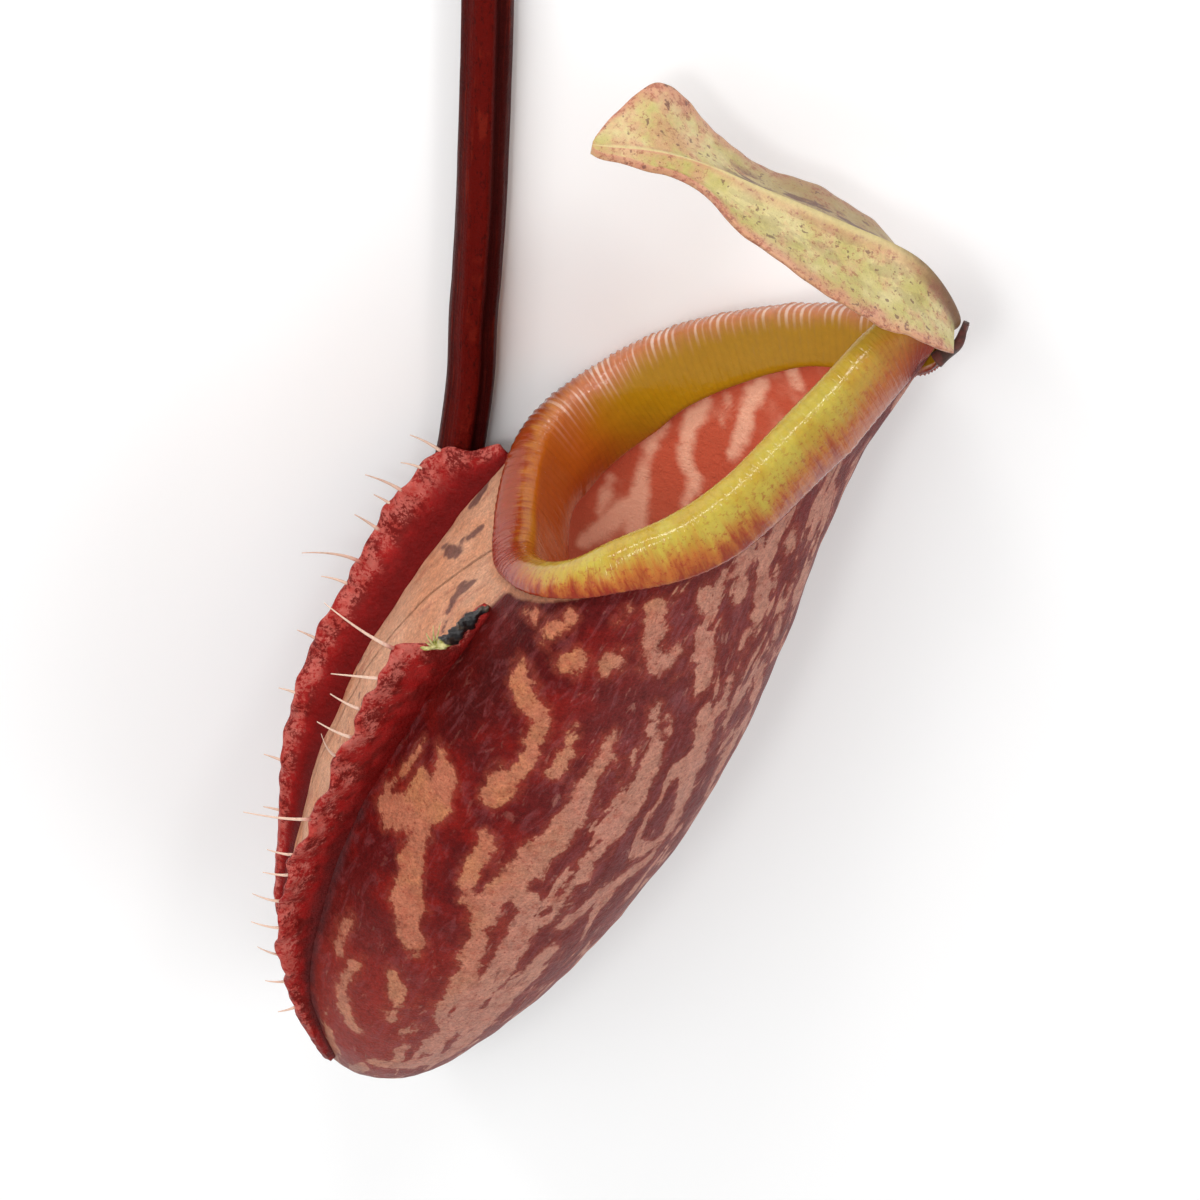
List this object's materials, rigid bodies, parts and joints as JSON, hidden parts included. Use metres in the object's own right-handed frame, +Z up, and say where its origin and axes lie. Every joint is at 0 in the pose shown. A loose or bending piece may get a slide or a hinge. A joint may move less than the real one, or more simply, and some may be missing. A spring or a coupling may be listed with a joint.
{
  "type": "hanging pitcher plant",
  "caption": "Cut hanging pitcher of a tropical pitcher plant: slanted cup with a ribbed rolled rim, fringed wings, narrow lid and tendril, lying on its flank.",
  "frame": {"origin": "middle of the underside of the bounding box, on the surface that the flank and the tendril lie on", "axes": "+Y from the cup's foot to the cut end of the tendril, upwards where the pitcher hangs; +X from the winged front to the back; +Z up, away from the flank it lies on"},
  "size_m": [0.0612, 0.1164, 0.0347],
  "materials": {
    "cup": "maroon blotches on salmon skin, slightly glossy",
    "rim": "wet-looking fine ribs, yellow-green to orange-red",
    "wing": "thin matt blade, pink with crimson speckles",
    "lid": "satin yellow-green with dark red specks",
    "spur": "dry dark brown",
    "tendril": "dark red, slightly glossy, grooved"
  },
  "bodies": {
    "root": {"cup": "cup", "rolled_rim": "rim", "wing_upper": "wing", "wing_lower": "wing", "lid": "lid", "spur": "spur", "tendril": "tendril"}
  },
  "joints": []
}
